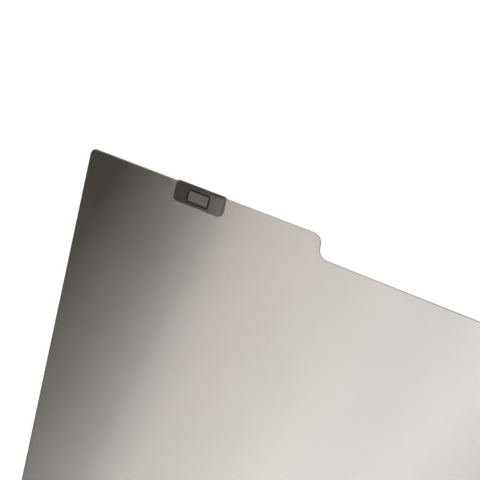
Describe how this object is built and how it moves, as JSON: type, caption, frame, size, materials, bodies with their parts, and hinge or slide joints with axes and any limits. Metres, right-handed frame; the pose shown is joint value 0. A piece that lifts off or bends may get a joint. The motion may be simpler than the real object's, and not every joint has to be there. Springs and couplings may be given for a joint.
{
  "type": "monitor privacy filter",
  "caption": "Thin dark see-through privacy sheet for a laptop screen, with a camera notch and flip-up adhesive clips on its top edge.",
  "frame": {"origin": "under the middle of the sheet, on the surface that the filter lies on", "axes": "+X along the sheet's width, +Y up the screen towards the clips, +Z out of the front of the sheet"},
  "size_m": [0.31, 0.1825, 0.002],
  "materials": {
    "filter_film": "dark see-through film, satin",
    "clip_plastic": "black moulded plastic, semi-gloss",
    "stud_plastic": "dark grey moulded plastic, matt",
    "hinge_rubber": "black soft elastomer",
    "leaf_plastic": "black moulded plastic, matt",
    "adhesive": "grey foam tape"
  },
  "bodies": {
    "filter": {"filter_sheet": "filter_film", "left_clip_cover": "clip_plastic", "left_latch_stud": "stud_plastic", "left_hinge_strip": "hinge_rubber", "right_clip_cover": "clip_plastic", "right_latch_stud": "stud_plastic", "right_hinge_strip": "hinge_rubber"},
    "left_leaf": {"left_bezel_leaf": "leaf_plastic", "left_outer_pad": "adhesive", "left_inner_pad": "adhesive"},
    "right_leaf": {"right_bezel_leaf": "leaf_plastic", "right_outer_pad": "adhesive", "right_inner_pad": "adhesive"}
  },
  "joints": [
    {"name": "left_flip", "type": "hinge", "parent": "filter", "child": "left_leaf", "pos_m": [-0.1013, 0.09164, 0.001], "axis": [1, 0, 0], "range_deg": [0, 180], "deforming": ["left_hinge_strip"]},
    {"name": "right_flip", "type": "hinge", "parent": "filter", "child": "right_leaf", "pos_m": [0.1013, 0.09164, 0.001], "axis": [1, 0, 0], "range_deg": [0, 180], "deforming": ["right_hinge_strip"]}
  ]
}
